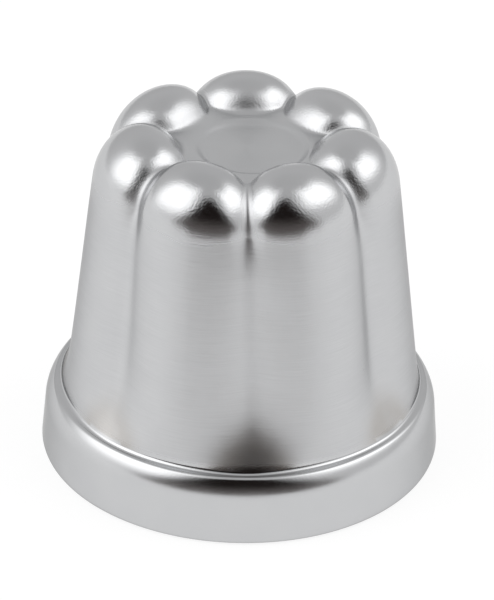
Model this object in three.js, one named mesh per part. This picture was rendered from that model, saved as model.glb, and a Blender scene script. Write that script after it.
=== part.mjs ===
// Baba mould: one deep-drawn aluminium sheet, standing upside down on its mouth.
// Millimetres, +Z up, the lip of the mouth on Z = 0, the groove between two lobes facing -Y.
import * as THREE from 'three';

// Sheet
const SHEET = 0.8;

// Collar round the mouth: a lip curled inward, a flared skirt, a rounded shoulder and a rounded ledge
const COLLAR_RADIUS = 40;
const LIP_RADIUS = 1.3;
const LIP_FLAT = 0.5;
const SKIRT_HEIGHT = 9.5;
const SKIRT_FLARE_DEG = 5;
const SHOULDER_RADIUS = 7.6;
const SHOULDER_TURN_DEG = 38;
const LEDGE_EDGE_RADIUS = 1.2;

// Body: seven tapering lobes that run out into a round foot
const LOBES = 7;
const FOOT_INSET = 4.1;
const FOOT_FILLET = 1;
const TOE_RISE = 8;
const FOOT_LOBE_DEPTH = 14.2;
const FOOT_LOBE_HALF_WIDTH = 14.2;
const GROOVE_ROUNDING_DEG = 5;
const GROOVE_PINCH = 0.45;

// Crown: half an ellipsoid on each lobe, cut where it leans like the wall, round a floor with a recess
const DOME_CENTRE_RADIUS = 20.15;
const DOME_CENTRE_HEIGHT = 59.3;
const DOME_DEPTH = 10.2;
const DOME_HALF_WIDTH = 12.9;
const DOME_RISE = 12.5;
const DOME_CUT_DEG = 9;
const FLOOR_SINK = 1.05;
const FLOOR_BLEND = 1.5;
const RECESS_RADIUS = 10.6;
const RECESS_DEPTH = 0.5;
const RECESS_SLOPE = 1.2;

// Facets: columns across one lobe from groove to groove, and rows down the sheet
const LOBE_COLUMNS = [0, 0.025, 0.07, 0.15, 0.27, 0.385, 0.5, 0.615, 0.73, 0.85, 0.93, 0.975];
const CROWN_ROWS = 11;
const WALL_ROWS = 4;
const TOE_ROWS = 6;
const FILLET_ROWS = 3;
const LEDGE_EDGE_ROWS = 3;
const SHOULDER_ROWS = 3;
const LIP_ROWS = 4;

const { clamp, degToRad, lerp } = THREE.MathUtils;
const PITCH = (2 * Math.PI) / LOBES;
const FLARE = degToRad(SKIRT_FLARE_DEG);
const SHOULDER_TURN = degToRad(SHOULDER_TURN_DEG);
const GROOVE_ROUNDING = degToRad(GROOVE_ROUNDING_DEG);
const DOME_CUT = degToRad(DOME_CUT_DEG);

// Point of an arc from its centre, by the angle of the arc's normal above the horizon
function onArc([radius, height], size, angle) {
  return [radius + size * Math.cos(angle), height + size * Math.sin(angle)];
}

// Collar from the lip up: each arc is tangent to what comes before it
const lipCentre = [COLLAR_RADIUS - LIP_RADIUS, LIP_RADIUS];
const lipTop = onArc(lipCentre, LIP_RADIUS, FLARE);
const skirtTop = [lipTop[0] - (SKIRT_HEIGHT - lipTop[1]) * Math.tan(FLARE), SKIRT_HEIGHT];
const shoulderCentre = onArc(skirtTop, -SHOULDER_RADIUS, FLARE);
const shoulderTop = onArc(shoulderCentre, SHOULDER_RADIUS, SHOULDER_TURN);
const edgeCentre = onArc(shoulderTop, -LEDGE_EDGE_RADIUS, SHOULDER_TURN);

// Where a lobe's ellipsoid gives way to the wall
const wallTop = DOME_CENTRE_HEIGHT + DOME_RISE * Math.sin(DOME_CUT);
const topLobeDepth = DOME_DEPTH * Math.cos(DOME_CUT);
const topLobeHalfWidth = DOME_HALF_WIDTH * Math.cos(DOME_CUT);
const topRadius = DOME_CENTRE_RADIUS + topLobeDepth;

// The foot stands where a fillet on an upright wall would touch the ledge's edge
const footRadius = COLLAR_RADIUS - FOOT_INSET;
const foldReach = LEDGE_EDGE_RADIUS + FOOT_FILLET;
const footHeight = edgeCentre[1] + Math.sqrt(foldReach ** 2 - (footRadius + FOOT_FILLET - edgeCentre[0]) ** 2);
const toeTop = footHeight + 2 * TOE_RISE;
const wallLean = (footRadius - topRadius) / (wallTop - footHeight);

// Each column has its azimuth from the front groove, and its angle from the nearest groove
const columns = [];
for (let lobe = 0; lobe < LOBES; lobe++) {
  for (const across of LOBE_COLUMNS) {
    columns.push({ azimuth: (lobe + across) * PITCH, fromGroove: Math.min(across, 1 - across) * PITCH });
  }
}

// Angle of a column from the middle of its lobe: it stops short of the groove, which rounds it,
// and widens toward it the higher it is, which steepens the lobe's flank
function fromMiddle(fromGroove, height) {
  const up = clamp((height - footHeight) / (wallTop - footHeight), 0, 1);
  const angle = PITCH / 2 - Math.hypot(fromGroove, GROOVE_ROUNDING);
  return angle * (1 + GROOVE_PINCH * up * ((2 * angle) / PITCH) ** 4);
}

// One lobe's elliptical section at a height: distance of its centre, radial and tangential half axes
function lobeSection(height) {
  const up = (height - footHeight) / (wallTop - footHeight);
  const outer = lerp(footRadius, topRadius, up);
  const depth = lerp(FOOT_LOBE_DEPTH, topLobeDepth, up);
  const halfWidth = lerp(FOOT_LOBE_HALF_WIDTH, topLobeHalfWidth, up);
  return { outer, centre: outer - depth, depth, halfWidth };
}

// Radius of the lobed outline in the direction of a column
function lobedRadius({ centre, depth, halfWidth }, angle) {
  const a = (Math.cos(angle) / depth) ** 2 + (Math.sin(angle) / halfWidth) ** 2;
  const b = (centre * Math.cos(angle)) / depth ** 2;
  const c = (centre / depth) ** 2 - 1;
  return (b + Math.sqrt(Math.max(0, b * b - a * c))) / a;
}

function grooveDepth(height, fromGroove) {
  const section = lobeSection(height);
  return section.outer - lobedRadius(section, fromMiddle(fromGroove, height));
}

// The body is round at its foot, and its grooves deepen above it
function bodyRadius(height, fromGroove) {
  const grown = Math.tanh((height - footHeight) / TOE_RISE) / Math.tanh((wallTop - footHeight) / TOE_RISE);
  return lobeSection(height).outer - grown * grooveDepth(height, fromGroove);
}

function domeHeight(radius, angle) {
  const radial = (radius * Math.cos(angle) - DOME_CENTRE_RADIUS) / DOME_DEPTH;
  const tangential = (radius * Math.sin(angle)) / DOME_HALF_WIDTH;
  return DOME_CENTRE_HEIGHT + DOME_RISE * Math.sqrt(Math.max(0, 1 - radial ** 2 - tangential ** 2));
}

// Radius at which a column crosses the top of its dome
function crestRadius(angle) {
  const radial = (Math.cos(angle) / DOME_DEPTH) ** 2;
  const tangential = (Math.sin(angle) / DOME_HALF_WIDTH) ** 2;
  return (DOME_CENTRE_RADIUS * Math.cos(angle)) / DOME_DEPTH ** 2 / (radial + tangential);
}

const saddleAngle = fromMiddle(0, wallTop);
const floorHeight = domeHeight(crestRadius(saddleAngle), saddleAngle) - FLOOR_SINK;

// Inside the crests the domes blend into the floor
function crownHeight(radius, angle) {
  const dome = domeHeight(radius, angle);
  const inside = 1 - radius / crestRadius(angle);
  if (inside < 0) return dome;
  const step = dome - floorHeight;
  return floorHeight + (step + Math.hypot(step, FLOOR_BLEND * inside)) / 2;
}

// Rows of an arc after its first point, from one angle of its normal to another
function arcRows(centre, size, from, to, count) {
  return Array.from({ length: count }, (_, i) => onArc(centre, size, lerp(from, to, (i + 1) / count)));
}

// Fold at the foot: a fillet that touches the leaning wall and the ledge's edge, then that edge
function foldRows(fromGroove) {
  const lean = Math.atan(wallLean + grooveDepth(footHeight, fromGroove) / TOE_RISE);
  const offEdge = (footRadius - edgeCentre[0]) * Math.cos(lean) + (footHeight - edgeCentre[1]) * Math.sin(lean);
  const away = FOOT_FILLET + offEdge;
  const along = Math.sqrt(foldReach ** 2 - away ** 2);
  const filletCentre = onArc(onArc(edgeCentre, away, lean), along, lean + Math.PI / 2);
  const tilt = Math.atan2(filletCentre[1] - edgeCentre[1], filletCentre[0] - edgeCentre[0]);
  return [
    onArc(filletCentre, -FOOT_FILLET, lean),
    ...arcRows(filletCentre, -FOOT_FILLET, lean, tilt, FILLET_ROWS),
    ...arcRows(edgeCentre, LEDGE_EDGE_RADIUS, tilt, SHOULDER_TURN, LEDGE_EDGE_ROWS),
  ];
}

// Outer face, as rows of [radius, height] from the recess down to the lip's flat, for one column
function outerProfile({ fromGroove }) {
  const rows = [];
  const recessTop = RECESS_RADIUS + RECESS_SLOPE / 2;
  rows.push([RECESS_RADIUS - RECESS_SLOPE / 2, floorHeight - RECESS_DEPTH]);
  const angle = fromMiddle(fromGroove, wallTop);
  const crownEdge = lobedRadius(lobeSection(wallTop), angle);
  for (let i = 0; i <= CROWN_ROWS; i++) {
    const radius = recessTop + (crownEdge - recessTop) * Math.sin(((i / CROWN_ROWS) * Math.PI) / 2);
    rows.push([radius, i < CROWN_ROWS ? crownHeight(radius, angle) : wallTop]);
  }
  for (let i = 1; i <= WALL_ROWS; i++) {
    const height = lerp(wallTop, toeTop, i / WALL_ROWS);
    rows.push([bodyRadius(height, fromGroove), height]);
  }
  for (let i = 1; i < TOE_ROWS; i++) {
    const height = lerp(toeTop, footHeight, i / TOE_ROWS);
    rows.push([bodyRadius(height, fromGroove), height]);
  }
  rows.push(...foldRows(fromGroove));
  rows.push(...arcRows(shoulderCentre, SHOULDER_RADIUS, SHOULDER_TURN, FLARE, SHOULDER_ROWS));
  rows.push(lipTop);
  rows.push(...arcRows(lipCentre, LIP_RADIUS, FLARE, -Math.PI / 2, LIP_ROWS));
  rows.push([lipCentre[0] - LIP_FLAT, 0]);
  return rows;
}

// Outer face of the sheet: a centre point, then rings of vertices joined by triangles
function outerFace() {
  const profiles = columns.map(outerProfile);
  const rowCount = profiles[0].length;
  const ring = columns.length;
  const points = [0, 0, floorHeight - RECESS_DEPTH];
  for (let row = 0; row < rowCount; row++) {
    columns.forEach(({ azimuth }, i) => {
      const [radius, height] = profiles[i][row];
      points.push(radius * Math.sin(azimuth), -radius * Math.cos(azimuth), height);
    });
  }
  const faces = [];
  for (let i = 0; i < ring; i++) {
    const next = (i + 1) % ring;
    faces.push(0, 1 + i, 1 + next);
    for (let row = 1; row < rowCount; row++) {
      const upper = 1 + (row - 1) * ring;
      const lower = upper + ring;
      faces.push(upper + i, lower + i, lower + next, upper + i, lower + next, upper + next);
    }
  }
  const face = new THREE.BufferGeometry();
  face.setAttribute('position', new THREE.Float32BufferAttribute(points, 3));
  face.setIndex(faces);
  face.computeVertexNormals();
  return face;
}

// The whole sheet: the outer face, the same face moved in by the sheet's thickness, and the cut edge
function sheetShell() {
  const outer = outerFace();
  const position = outer.getAttribute('position');
  const normal = outer.getAttribute('normal');
  const count = position.count;
  const ring = columns.length;
  const rim = count - ring;
  const points = Array.from(position.array);
  for (let i = 0; i < count; i++) {
    const point = new THREE.Vector3().fromBufferAttribute(position, i);
    const inward = new THREE.Vector3().fromBufferAttribute(normal, i).multiplyScalar(-SHEET);
    point.add(inward);
    points.push(point.x, point.y, point.z);
  }
  const faces = Array.from(outer.index.array);
  for (let i = 0; i < outer.index.count; i += 3) {
    faces.push(faces[i] + count, faces[i + 2] + count, faces[i + 1] + count);
  }
  for (let i = 0; i < ring; i++) {
    const a = rim + i;
    const b = rim + ((i + 1) % ring);
    faces.push(a, a + count, b + count, a, b + count, b);
  }
  const shell = new THREE.BufferGeometry();
  shell.setAttribute('position', new THREE.Float32BufferAttribute(points, 3));
  shell.setIndex(faces);
  shell.computeVertexNormals();
  return shell;
}

const aluminium = new THREE.MeshStandardMaterial({ color: 0xc9cacc, roughness: 0.3, metalness: 1 });
const mouldShell = new THREE.Mesh(sheetShell(), aluminium);
mouldShell.name = 'mould_shell';

const mould = new THREE.Group();
mould.name = 'baba_mould';
mould.add(mouldShell);

export default mould;
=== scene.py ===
import math

import bpy
import numpy as np
from mathutils import Matrix, Vector


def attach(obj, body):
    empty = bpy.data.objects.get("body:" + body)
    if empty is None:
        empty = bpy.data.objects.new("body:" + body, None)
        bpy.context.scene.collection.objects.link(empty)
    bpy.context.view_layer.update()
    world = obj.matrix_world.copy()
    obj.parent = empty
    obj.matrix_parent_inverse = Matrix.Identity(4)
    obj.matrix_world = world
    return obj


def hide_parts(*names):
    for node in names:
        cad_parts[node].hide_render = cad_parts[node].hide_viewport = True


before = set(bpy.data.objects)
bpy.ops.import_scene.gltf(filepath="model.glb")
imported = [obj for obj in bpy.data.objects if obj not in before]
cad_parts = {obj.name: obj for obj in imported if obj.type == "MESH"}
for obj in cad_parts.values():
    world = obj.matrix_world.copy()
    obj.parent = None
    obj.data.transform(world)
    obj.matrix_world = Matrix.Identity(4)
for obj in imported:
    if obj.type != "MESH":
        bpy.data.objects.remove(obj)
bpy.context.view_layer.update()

MM = 0.001

# Sheet, and how far its cut edge is rounded
SHEET = 0.8
CUT_ROUNDING = 0.15

# Collar round the mouth: a lip curled inward, a flared skirt, a rounded shoulder and a rounded ledge
COLLAR_RADIUS = 40
LIP_RADIUS = 1.3
LIP_FLAT = 0.5
SKIRT_HEIGHT = 9.5
SKIRT_FLARE = math.radians(5)
SHOULDER_RADIUS = 7.6
SHOULDER_TURN = math.radians(38)
LEDGE_EDGE_RADIUS = 1.2

# Body: seven tapering lobes that run out into a round foot
LOBES = 7
PITCH = 2 * math.pi / LOBES
FOOT_INSET = 4.1
FOOT_FILLET = 1
TOE_RISE = 8
FOOT_LOBE_DEPTH = 14.2
FOOT_LOBE_HALF_WIDTH = 14.2
GROOVE_ROUNDING = math.radians(5.5)
GROOVE_PINCH = 0.25
CROWN_GROOVE_ROUNDING = math.radians(3)
CROWN_GROOVE_PINCH = 0.22
CROWN_GROOVE_REACH = 9
GROOVE_LEAN = math.radians(4)

# Crown: half an ellipsoid on each lobe, cut where it leans like the wall, round a floor with a recess
DOME_CENTRE_RADIUS = 20.15
DOME_CENTRE_HEIGHT = 59.3
DOME_DEPTH = 10.2
DOME_INNER_DEPTH = 9.3
DOME_HALF_WIDTH = 12.9
DOME_RISE = 12.5
DOME_CUT = math.radians(9)
FLOOR_SINK = 1.05
FLOOR_BLEND = 1.2
RECESS_RADIUS = 10.6
RECESS_DEPTH = 0.6
RECESS_SLOPE = 2
RECESS_OFFSET = np.array((1.1, -1))
OFFSET_FADE = 3

# Fineness of the mesh, and how far its columns and rows crowd together at the ends
LOBE_COLUMNS = 40
COLUMN_CROWDING = 0.12
RECESS_ROWS = 8
RISER_ROWS = 8
CROWN_ROWS = 48
BODY_ROWS = 56
BODY_CROWDING = 0.4
FILLET_ROWS = 10
LEDGE_EDGE_ROWS = 10
SHOULDER_ROWS = 14
SKIRT_ROWS = 8
LIP_ROWS = 8

# Camera: the photograph's frame, its focal length in pixels, and where it stands and aims
FRAME_HEIGHT_PX = 600
FOCAL_PX = 3659
SENSOR = 36
CAMERA_ELEVATION = math.radians(30.5)
CAMERA_DISTANCE = 728.5 * MM
CAMERA_ORBIT = math.radians(-0.5)
CAMERA_ROLL = math.radians(1.52)
CAMERA_AIM = Vector((0.87, 0, 31.8)) * MM

# Tent, in degrees: its level at the sides, at the back and overhead, and where each gives way to the next.
# A lamp's patch is its side, peak, azimuth, elevation and half sizes.
TENT_LEVEL = 0.77
TENT_BACK = 0.69
TENT_TOP = 0.63
BACK_AZIMUTH = (110, 150)
TOP_ELEVATION = (35, 75)
HORIZON = (1.8, 5)
TENT_LAMPS = ((-1, 1.3, 72, 40, 37, 28), (1, 1.3, 84, 44, 38, 20))
LAMP_HANG = -0.22
LAMP_SQUARENESS = 4.0

# Opening of the tent: its middle, its half width from low to high, its soft edge, its top and its two darks
FLAP_AZIMUTH = 1
FLAP_ELEVATION = (5, 60)
FLAP_HALF_WIDTH = (57, 14)
FLAP_EDGE = (-12, 10)
FLAP_TOP = (54, 66)
GLOOM_ELEVATION = (2, 28)
LOW_GLOOM = (0.13, 0.115, 0.11, 1)
HIGH_GLOOM = (0.012, 0.009, 0.008, 1)

# Floor: how far it reaches, the gap in front where the camera stands, its paint, and its own share of white
FLOOR_SIZE = 60
GAP_FRONT = 0.4
GAP_HALF_WIDTH = 0.22
GAP_SPREAD = math.radians(42)
FLOOR_PAINT = 0.22
FLOOR_GLOW = 0.83

# Roughness of the metal, and where on the crown it changes
CROWN_FLOOR_ROUGHNESS = 0.3
CROWN_FLOOR_EDGE = (13, 19)
CROWN_GROOVE_ROUGHNESS = 0.4
DULL_GROOVE = math.radians(3)
RECESS_FADE = 8
DOME_ROUGHNESS = 0.13
WALL_ROUGHNESS = 0.3
COLLAR_ROUGHNESS = 0.13
SHOULDER_ROUGHNESS = 0.2
BLOTCH_ROUGHNESS = 0.1
ANISOTROPY = 0.6
ANISOTROPY_TURN = 0.25

# Reflectance at grazing angles: of the wall and collar, outside the domes' crests and inside them. The lower
# values are painted shade, which darkens the outlines and the skirt's ends as a shaded floor beside the
# mould would
SHADED_EDGE_REFLECTANCE = 0.6
CROWN_EDGE_REFLECTANCE = 0.8
CROWN_INNER_REFLECTANCE = 1.0
CREST_BAND = (17, 22)

# Colours of the metal and of the darker, browner toes
DARK_METAL = (0.53, 0.535, 0.546, 1)
LIGHT_METAL = (0.58, 0.583, 0.59, 1)
DARK_TOES = (0.46, 0.445, 0.43, 1)
TOE_MARGIN = 0.05

# Brushed lines, grain and blotches: how fine and how strong they are
LINES_AROUND = 4.4
LINES_UP = 6.0
GRAIN_SCALE = 2.4
BLOTCH_SCALE = 0.12
BUMP_DEPTH = 0.03
LINE_RELIEF = 0.7
WALL_GRAIN = 0.25
BRUSHING = 0.18


def lerp(a, b, share):
    return a + (b - a) * share


def smooth(share):
    share = np.clip(share, 0, 1)
    return share * share * (3 - 2 * share)


def on_arc(centre, size, angle):
    """Point of an arc from its centre, by the angle of the arc's normal above the horizon."""
    return centre[0] + size * np.cos(angle), centre[1] + size * np.sin(angle)


# Collar from the lip up: each arc is tangent to what comes before it
lip_centre = (COLLAR_RADIUS - LIP_RADIUS, LIP_RADIUS)
lip_top = on_arc(lip_centre, LIP_RADIUS, SKIRT_FLARE)
skirt_top = (lip_top[0] - (SKIRT_HEIGHT - lip_top[1]) * math.tan(SKIRT_FLARE), SKIRT_HEIGHT)
shoulder_centre = on_arc(skirt_top, -SHOULDER_RADIUS, SKIRT_FLARE)
shoulder_top = on_arc(shoulder_centre, SHOULDER_RADIUS, SHOULDER_TURN)
edge_centre = on_arc(shoulder_top, -LEDGE_EDGE_RADIUS, SHOULDER_TURN)

# Where a lobe's ellipsoid gives way to the wall
wall_top = DOME_CENTRE_HEIGHT + DOME_RISE * math.sin(DOME_CUT)
top_lobe_depth = DOME_DEPTH * math.cos(DOME_CUT)
top_lobe_half_width = DOME_HALF_WIDTH * math.cos(DOME_CUT)
top_radius = DOME_CENTRE_RADIUS + top_lobe_depth

# The foot stands where a fillet on an upright wall would touch the ledge's edge
foot_radius = COLLAR_RADIUS - FOOT_INSET
fold_reach = LEDGE_EDGE_RADIUS + FOOT_FILLET
foot_height = edge_centre[1] + math.sqrt(fold_reach**2 - (foot_radius + FOOT_FILLET - edge_centre[0]) ** 2)
wall_lean = (foot_radius - top_radius) / (wall_top - foot_height)

# Columns round the sheet, closer together at the grooves
share = np.arange(LOBE_COLUMNS) / LOBE_COLUMNS
across = share - COLUMN_CROWDING * np.sin(2 * math.pi * share)
azimuths = np.concatenate([(lobe + across) * PITCH for lobe in range(LOBES)])
from_groove = np.tile(np.minimum(across, 1 - across) * PITCH, LOBES)


def from_middle(height):
    """Angle of every column from the middle of its lobe. It stops short of the groove, which rounds it, and
    widens toward it the higher it is, which steepens the lobe's flank."""
    up = min(1, max(0, (height - foot_height) / (wall_top - foot_height)))
    sharpened = max(0, 1 - (wall_top - height) / CROWN_GROOVE_REACH) ** 2
    angle = PITCH / 2 - np.hypot(from_groove, lerp(GROOVE_ROUNDING, CROWN_GROOVE_ROUNDING, sharpened))
    pinch = lerp(GROOVE_PINCH * up, CROWN_GROOVE_PINCH, sharpened)
    return angle * (1 + pinch * (2 * angle / PITCH) ** 4)


def lobed_outline(height):
    """Outer radius of the lobes at a height, and the radius of their outline in every column."""
    up = (height - foot_height) / (wall_top - foot_height)
    outer = lerp(foot_radius, top_radius, up)
    depth = lerp(FOOT_LOBE_DEPTH, top_lobe_depth, up)
    half_width = lerp(FOOT_LOBE_HALF_WIDTH, top_lobe_half_width, up)
    centre = outer - depth
    angle = from_middle(height)
    a = (np.cos(angle) / depth) ** 2 + (np.sin(angle) / half_width) ** 2
    b = centre * np.cos(angle) / depth**2
    c = (centre / depth) ** 2 - 1
    return outer, (b + np.sqrt(np.maximum(0, b * b - a * c))) / a


def body_radius(height):
    """The lobed outline, whose grooves deepen above the foot, where the body is round."""
    outer, outline = lobed_outline(height)
    grown = math.tanh((height - foot_height) / TOE_RISE) / math.tanh((wall_top - foot_height) / TOE_RISE)
    return outer - grown * (outer - outline)


def dome_height(radius, angle):
    """Height of a lobe's ellipsoid, which is steeper on its inner side."""
    off_centre = radius * np.cos(angle) - DOME_CENTRE_RADIUS
    radial = off_centre / np.where(off_centre < 0, DOME_INNER_DEPTH, DOME_DEPTH)
    tangential = radius * np.sin(angle) / DOME_HALF_WIDTH
    return DOME_CENTRE_HEIGHT + DOME_RISE * np.sqrt(np.maximum(0, 1 - radial**2 - tangential**2))


def crest_radius(angle):
    """Radius at which a column crosses the top of its dome."""
    radial = (np.cos(angle) / DOME_INNER_DEPTH) ** 2
    tangential = (np.sin(angle) / DOME_HALF_WIDTH) ** 2
    return DOME_CENTRE_RADIUS * np.cos(angle) / DOME_INNER_DEPTH**2 / (radial + tangential)


saddle_angle = from_middle(wall_top).max()
floor_height = dome_height(crest_radius(saddle_angle), saddle_angle) - FLOOR_SINK


def crown_height(radius, angle):
    """The domes, which blend into the floor inside their crests."""
    dome = dome_height(radius, angle)
    inside = np.maximum(0, 1 - radius / crest_radius(angle))
    step = dome - floor_height
    blended = floor_height + (step + np.hypot(step, FLOOR_BLEND * inside)) / 2
    return np.where(inside > 0, blended, dome)


def arc_rows(centre, size, start, end, count):
    """Rows of an arc after its first point, from one angle of its normal to another."""
    return [on_arc(centre, size, lerp(start, end, (i + 1) / count)) for i in range(count)]


def line_rows(start, end, count):
    """Rows of a straight line after its first point."""
    shares = [(i + 1) / count for i in range(count)]
    return [(lerp(start[0], end[0], share), lerp(start[1], end[1], share)) for share in shares]


def crown_rows():
    """The recess, its riser, and the floor and domes out to the wall."""
    angle = from_middle(wall_top)
    recess_foot = RECESS_RADIUS - RECESS_SLOPE / 2
    recess_top = RECESS_RADIUS + RECESS_SLOPE / 2
    recess_floor = floor_height - RECESS_DEPTH
    rows = [(recess_foot * (i + 1) / RECESS_ROWS, recess_floor) for i in range(RECESS_ROWS)]
    riser = crown_height(recess_top, angle) - recess_floor
    for i in range(1, RISER_ROWS):
        climb = i / RISER_ROWS
        rows.append((lerp(recess_foot, recess_top, climb), recess_floor + riser * smooth(climb)))
    crown_edge = lobed_outline(wall_top)[1]
    for i in range(CROWN_ROWS):
        radius = recess_top + (crown_edge - recess_top) * math.sin(i / CROWN_ROWS * math.pi / 2)
        rows.append((radius, crown_height(radius, angle)))
    return rows


def collar_rows():
    """The fold at the foot, the ledge's edge, the shoulder, the skirt and the curled lip."""
    outer, outline = lobed_outline(foot_height)
    lean = np.arctan(wall_lean + (outer - outline) / TOE_RISE)
    # The fillet touches both the wall and the ledge's edge
    off_edge = (foot_radius - edge_centre[0]) * np.cos(lean) + (foot_height - edge_centre[1]) * np.sin(lean)
    away = FOOT_FILLET + off_edge
    along = np.sqrt(fold_reach**2 - away**2)
    fillet_r = edge_centre[0] + away * np.cos(lean) - along * np.sin(lean)
    fillet_z = edge_centre[1] + away * np.sin(lean) + along * np.cos(lean)
    tilt = np.arctan2(fillet_z - edge_centre[1], fillet_r - edge_centre[0])
    rows = [on_arc((fillet_r, fillet_z), -FOOT_FILLET, lean)]
    rows += arc_rows((fillet_r, fillet_z), -FOOT_FILLET, lean, tilt, FILLET_ROWS)
    rows += arc_rows(edge_centre, LEDGE_EDGE_RADIUS, tilt, SHOULDER_TURN, LEDGE_EDGE_ROWS)
    rows += arc_rows(shoulder_centre, SHOULDER_RADIUS, SHOULDER_TURN, SKIRT_FLARE, SHOULDER_ROWS)
    rows += line_rows(skirt_top, lip_top, SKIRT_ROWS)
    rows += arc_rows(lip_centre, LIP_RADIUS, SKIRT_FLARE, -math.pi / 2, LIP_ROWS)
    rows.append((lip_centre[0] - LIP_FLAT, 0))
    return rows


def outer_rows():
    """Outer face of the sheet from the middle of the crown to the cut edge, as rows of radius and height."""
    # The rows of the body lie closer together at both ends
    turn = 2 * math.pi * np.arange(BODY_ROWS) / BODY_ROWS
    down = (turn - BODY_CROWDING * np.sin(turn)) / (2 * math.pi)
    body = [(body_radius(height), height) for height in lerp(wall_top, foot_height, down)]
    whole = np.ones_like(azimuths)
    return [(radius * whole, height * whole) for radius, height in crown_rows() + body + collar_rows()]


def toe_cover(rows):
    """How far the groove is filled in at every vertex of the rows: 1 in the toes, and 0 off the body."""
    outer, outline = lobed_outline(foot_height)
    filled = (outer - outline) / (outer - outline).max()
    cover = [np.zeros(1)]
    for radius, height in rows:
        above = (height - foot_height) / TOE_RISE
        cover.append(np.where(above > -TOE_MARGIN, (1 - np.tanh(np.maximum(0, above))) * filled, 0))
    return np.concatenate(cover)


def groove_cover(rows):
    """How near each vertex of the rows is to a groove: 1 along it, 0 between grooves and in the recess."""
    near = np.exp(-((from_groove / DULL_GROOVE) ** 2))
    cover = [near * smooth((radius - RECESS_RADIUS) / RECESS_FADE) for radius, height in rows]
    return np.concatenate([np.zeros(1)] + cover)


def groove_lean(height):
    """How far round the axis the lobes have turned at a height: most at the foot, nothing at the crown."""
    up = (height - foot_height) / (DOME_CENTRE_HEIGHT + DOME_RISE - foot_height)
    return GROOVE_LEAN * (1 - np.maximum(0, up) ** 2)


def ring_faces(first, second, ring):
    """Quads between two rings of vertices, given by their first indices."""
    return [
        (first + i, second + i, second + (i + 1) % ring, first + (i + 1) % ring)
        for i in range(ring)
    ]


def make_sheet(name):
    """The sheet: its outer face, the same face moved in by its thickness, and a rounded cut edge."""
    ring = len(azimuths)
    rows = outer_rows()
    outer = [np.array([[*RECESS_OFFSET, rows[0][1][0]]])]
    for radius, height in rows:
        turned = azimuths + groove_lean(height)
        offset = np.outer(RECESS_OFFSET, 1 - smooth((radius - RECESS_RADIUS) / OFFSET_FADE))
        x, y = offset + radius * np.array((np.sin(turned), -np.cos(turned)))
        outer.append(np.stack([x, y, height], axis=1))
    outer = np.concatenate(outer)
    count = len(outer)
    faces = [(0, 1 + i, 1 + (i + 1) % ring) for i in range(ring)]
    for row in range(len(rows) - 1):
        faces += ring_faces(1 + row * ring, 1 + (row + 1) * ring, ring)
    face = bpy.data.meshes.new(name + "_outer")
    face.from_pydata((outer * MM).tolist(), [], faces)
    normals = np.zeros(count * 3, np.float32)
    face.vertex_normals.foreach_get("vector", normals)
    bpy.data.meshes.remove(face)
    inner = outer - SHEET * normals.reshape(-1, 3)
    # The cut edge bulges a little between the last rings of the two faces
    cut = (outer[-ring:] + inner[-ring:]) / 2
    cut[:, :2] *= 1 - CUT_ROUNDING / (lip_centre[0] - LIP_FLAT)
    points = np.concatenate([outer, inner, cut])
    inside = [tuple(count + v for v in reversed(quad)) for quad in faces]
    edge = ring_faces(count - ring, 2 * count, ring) + ring_faces(2 * count, 2 * count - ring, ring)
    mesh = bpy.data.meshes.new(name)
    mesh.from_pydata((points * MM).tolist(), [], faces + inside + edge)
    mesh.polygons.foreach_set("use_smooth", [True] * len(mesh.polygons))
    for mark, cover in (("toe", toe_cover(rows)), ("groove", groove_cover(rows))):
        values = np.zeros(len(points), np.float32)
        values[:count] = cover
        mesh.attributes.new(mark, "FLOAT", "POINT").data.foreach_set("value", values)
    mesh.update()
    sheet = bpy.data.objects.new(name, mesh)
    bpy.context.scene.collection.objects.link(sheet)
    return sheet


class Graph:
    """Short calls for building a node tree, where an input takes a socket or a plain value."""

    def __init__(self, tree):
        self.tree = tree
        self.tree.nodes.clear()

    def node(self, kind, inputs=(), **settings):
        made = self.tree.nodes.new(kind)
        for key, value in settings.items():
            setattr(made, key, value)
        for key, value in dict(inputs).items():
            self.put(made.inputs[key], value)
        return made

    def put(self, socket, value):
        if isinstance(value, bpy.types.NodeSocket):
            self.tree.links.new(value, socket)
        else:
            socket.default_value = value

    def math(self, operation, a, b=0.0, c=0.0):
        return self.node("ShaderNodeMath", {0: a, 1: b, 2: c}, operation=operation).outputs[0]

    def ramp(self, value, low, high, at_low=0.0, at_high=1.0, shape="SMOOTHSTEP"):
        """A smooth step of value from low to high."""
        inputs = {"Value": value, "From Min": low, "From Max": high, "To Min": at_low, "To Max": at_high}
        return self.node("ShaderNodeMapRange", inputs, interpolation_type=shape).outputs[0]

    def line(self, value, low, high, at_low, at_high):
        """A straight step of value from low to high."""
        return self.ramp(value, low, high, at_low, at_high, "LINEAR")

    def mix(self, factor, a, b):
        made = self.node("ShaderNodeMix", data_type="RGBA")
        self.put(made.inputs[0], factor)
        self.put(made.inputs[6], a)
        self.put(made.inputs[7], b)
        return made.outputs[2]

    def noise(self, vector, scale, detail, roughness):
        inputs = {"Vector": vector, "Scale": scale, "Detail": detail, "Roughness": roughness}
        return self.node("ShaderNodeTexNoise", inputs).outputs[0]


def grey(value):
    return (value, value, value, 1)


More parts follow.
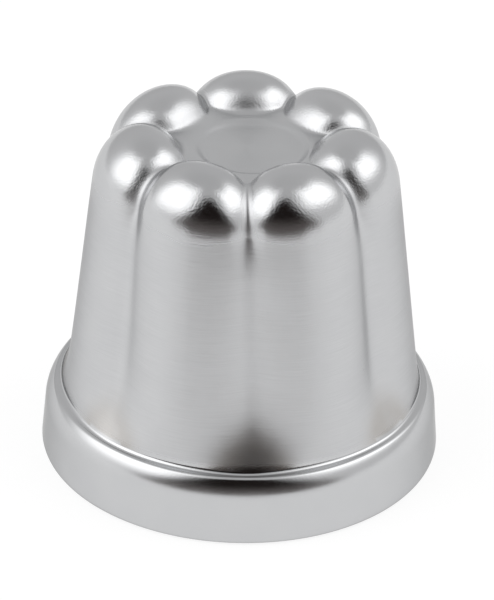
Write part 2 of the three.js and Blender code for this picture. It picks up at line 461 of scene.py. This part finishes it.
def light_tent():
    """A pale tent lit from outside by two lamps, with the dark opening for the camera between them."""
    world = bpy.data.worlds.new("light_tent")
    bpy.context.scene.world = world
    world.use_nodes = True
    g = Graph(world.node_tree)
    direction = g.node("ShaderNodeTexCoord").outputs["Generated"]
    axes = g.node("ShaderNodeSeparateXYZ", {0: direction}).outputs
    degrees = 180 / math.pi
    elevation = g.math("MULTIPLY", g.math("ARCSINE", axes["Z"]), degrees)
    turned = g.math("ARCTAN2", axes["X"], g.math("MULTIPLY", axes["Y"], -1.0))
    azimuth = g.math("MULTIPLY", turned, degrees)
    sides = g.ramp(g.math("ABSOLUTE", azimuth), *BACK_AZIMUTH, TENT_LEVEL, TENT_BACK)
    light = g.ramp(elevation, *HORIZON, 1.0, g.ramp(elevation, *TOP_ELEVATION, sides, TENT_TOP))
    for side, peak, across, up, width, height in TENT_LAMPS:
        aside = g.math("SUBTRACT", g.math("MULTIPLY", azimuth, side), across)
        # The outer end of each lamp's patch hangs lower
        above = g.math("SUBTRACT", elevation, g.math("MULTIPLY_ADD", aside, LAMP_HANG, up))
        spread = g.math("POWER", g.math("ABSOLUTE", g.math("DIVIDE", aside, width)), LAMP_SQUARENESS)
        climb = g.math("POWER", g.math("ABSOLUTE", g.math("DIVIDE", above, height)), LAMP_SQUARENESS)
        patch = g.math("EXPONENT", g.math("MULTIPLY", g.math("ADD", spread, climb), -1.0))
        light = g.math("MULTIPLY_ADD", patch, peak, light)
    # The opening narrows upward like a tent flap and goes on below the edge of the table
    off_middle = g.math("ABSOLUTE", g.math("SUBTRACT", azimuth, FLAP_AZIMUTH))
    past_flap = g.math("SUBTRACT", off_middle, g.line(elevation, *FLAP_ELEVATION, *FLAP_HALF_WIDTH))
    flap = g.math("MULTIPLY", g.ramp(past_flap, *FLAP_EDGE, 1, 0), g.ramp(elevation, *FLAP_TOP, 1, 0))
    gloom = g.mix(g.ramp(elevation, *GLOOM_ELEVATION), LOW_GLOOM, HIGH_GLOOM)
    shade = g.node("ShaderNodeCombineColor", {0: light, 1: light, 2: light}).outputs[0]
    lit = g.node("ShaderNodeBackground", {"Color": g.mix(flap, shade, gloom), "Strength": 1.0})
    g.node("ShaderNodeOutputWorld", {"Surface": lit.outputs[0]})


def satin_aluminium():
    """Polished domes over a brushed wall, with a duller crown floor and toes made darker and browner in
    blotches.
    """
    material = bpy.data.materials.new("satin_aluminium")
    material.use_nodes = True
    g = Graph(material.node_tree)
    place = g.node("ShaderNodeTexCoord").outputs["Object"]
    mm = g.node("ShaderNodeVectorMath", {0: place, 3: 1 / MM}, operation="SCALE").outputs[0]
    height = g.node("ShaderNodeSeparateXYZ", {0: mm}).outputs["Z"]
    from_axis = g.node("ShaderNodeVectorMath", {0: mm, 1: (1, 1, 0)}, operation="MULTIPLY").outputs[0]
    radius = g.node("ShaderNodeVectorMath", {0: from_axis}, operation="LENGTH").outputs["Value"]
    on_domes = g.ramp(height, wall_top - 2, wall_top + 5)
    below_domes = g.ramp(height, wall_top - 2, wall_top + 5, 1, 0)
    on_wall = g.math("MULTIPLY", g.ramp(height, foot_height - 1, foot_height + 2), below_domes)

    # Lines left by polishing on the lathe run round the axis
    around = g.node("ShaderNodeVectorMath", {0: from_axis}, operation="NORMALIZE").outputs[0]
    around = g.node("ShaderNodeVectorMath", {0: around, 3: LINES_AROUND}, operation="SCALE").outputs[0]
    climb = g.node("ShaderNodeCombineXYZ", {2: g.math("MULTIPLY", height, LINES_UP)}).outputs[0]
    lines_at = g.node("ShaderNodeVectorMath", {0: around, 1: climb}, operation="ADD").outputs[0]
    lines = g.noise(lines_at, 1.0, 3.0, 0.6)
    grain = g.noise(mm, GRAIN_SCALE, 2.0, 0.6)
    blotch = g.noise(mm, BLOTCH_SCALE, 2.0, 0.55)

    line_relief = g.math("MULTIPLY", lines, g.math("MULTIPLY", on_wall, LINE_RELIEF))
    grain_relief = g.math("MULTIPLY", grain, g.line(on_domes, 0, 1, WALL_GRAIN, 1.0))
    relief = g.math("ADD", line_relief, grain_relief)
    inputs = {"Strength": 1.0, "Distance": BUMP_DEPTH * MM, "Height": relief}
    bump = g.node("ShaderNodeBump", inputs).outputs[0]

    # The crown's floor and grooves are duller than its domes, and the wall is duller than the collar
    crown = g.ramp(radius, *CROWN_FLOOR_EDGE, CROWN_FLOOR_ROUGHNESS, DOME_ROUGHNESS)
    groove = g.node("ShaderNodeAttribute", attribute_name="groove").outputs["Fac"]
    crown = g.line(groove, 0, 1, crown, CROWN_GROOVE_ROUGHNESS)
    roughness = g.line(on_domes, 0, 1, WALL_ROUGHNESS, crown)
    collar = g.ramp(height, shoulder_top[1] - 2, shoulder_top[1], SHOULDER_ROUGHNESS, COLLAR_ROUGHNESS)
    roughness = g.ramp(height, foot_height - 0.5, foot_height + 1, collar, roughness)
    roughness = g.math("MULTIPLY_ADD", g.math("SUBTRACT", blotch, 0.5), BLOTCH_ROUGHNESS, roughness)

    # The lines show in the wall's colour, and the toes are made darker and browner in blotches
    colour = g.mix(blotch, DARK_METAL, LIGHT_METAL)
    brushed = g.math("MULTIPLY_ADD", g.math("SUBTRACT", lines, 0.5), BRUSHING, 1.0)
    brushed = g.line(on_wall, 0, 1, 1.0, brushed)
    colour = g.node("ShaderNodeVectorMath", {0: colour, 3: brushed}, operation="SCALE").outputs[0]
    toe = g.node("ShaderNodeAttribute", attribute_name="toe").outputs["Fac"]
    toe_darkening = g.math("MULTIPLY", g.ramp(toe, 0.1, 0.6), g.ramp(blotch, 0.2, 0.8, 0.55, 1.0))
    colour = g.mix(toe_darkening, colour, DARK_TOES)

    # Painted shade: a dimmer grazing reflection on the wall and collar, and less so on the crown outside the
    # crests, darkens their outlines and the skirt's ends
    crown_edge = g.ramp(radius, *CREST_BAND, CROWN_INNER_REFLECTANCE, CROWN_EDGE_REFLECTANCE)
    edge = g.ramp(height, wall_top - 6, wall_top + 2, SHADED_EDGE_REFLECTANCE, crown_edge)
    edge = g.node("ShaderNodeCombineColor", {0: edge, 1: edge, 2: edge}).outputs[0]
    inputs = {"Base Color": colour, "Roughness": roughness, "Normal": bump, "Specular Tint": edge}
    shader = g.node("ShaderNodeBsdfPrincipled", inputs)
    shader.inputs["Metallic"].default_value = 1.0
    shader.inputs["Anisotropic"].default_value = ANISOTROPY
    shader.inputs["Anisotropic Rotation"].default_value = ANISOTROPY_TURN
    g.node("ShaderNodeOutputMaterial", {"Surface": shader.outputs[0]})
    return material


def white_floor():
    """A white table with a gap for the camera. Most of its white is its own, so the shadow stays faint."""
    material = bpy.data.materials.new("white_floor")
    material.use_nodes = True
    material.cycles.emission_sampling = "NONE"
    g = Graph(material.node_tree)
    paint = g.node("ShaderNodeBsdfDiffuse", {"Color": grey(FLOOR_PAINT)})
    glow = g.node("ShaderNodeEmission", {"Color": grey(1.0), "Strength": FLOOR_GLOW})
    shader = g.node("ShaderNodeAddShader", {0: paint.outputs[0], 1: glow.outputs[0]})
    g.node("ShaderNodeOutputMaterial", {"Surface": shader.outputs[0]})
    half = FLOOR_SIZE / 2
    mesh = bpy.data.meshes.new("floor")
    gap_foot = GAP_HALF_WIDTH + (half - GAP_FRONT) * math.tan(GAP_SPREAD)
    right = [(GAP_HALF_WIDTH, -GAP_FRONT, 0), (gap_foot, -half, 0), (half, -half, 0), (half, half, 0)]
    left = [(-x, y, z) for x, y, z in reversed(right)]
    mesh.from_pydata(right + left, [], [range(len(right + left))])
    floor = bpy.data.objects.new("floor", mesh)
    floor.data.materials.append(material)
    bpy.context.scene.collection.objects.link(floor)


def place_camera():
    """The photograph's camera, a little rolled."""
    lens = bpy.data.cameras.new("camera")
    lens.sensor_width = SENSOR
    lens.lens = FOCAL_PX / FRAME_HEIGHT_PX * SENSOR
    lens.clip_start = 0.01
    lens.clip_end = 100
    camera = bpy.data.objects.new("camera", lens)
    bpy.context.scene.collection.objects.link(camera)
    level = math.cos(CAMERA_ELEVATION)
    back = Vector((
        math.sin(CAMERA_ORBIT) * level,
        -math.cos(CAMERA_ORBIT) * level,
        math.sin(CAMERA_ELEVATION),
    ))
    turn = (-back).to_track_quat("-Z", "Y").to_matrix() @ Matrix.Rotation(CAMERA_ROLL, 3, "Z")
    camera.matrix_world = Matrix.Translation(CAMERA_AIM + back * CAMERA_DISTANCE) @ turn.to_4x4()
    bpy.context.scene.camera = camera


place_camera()
light_tent()
white_floor()
bpy.context.scene.view_settings.view_transform = "Standard"

sheet = make_sheet("drawn_sheet")
sheet.data.materials.append(satin_aluminium())
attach(sheet, "root")
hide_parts("mould_shell")
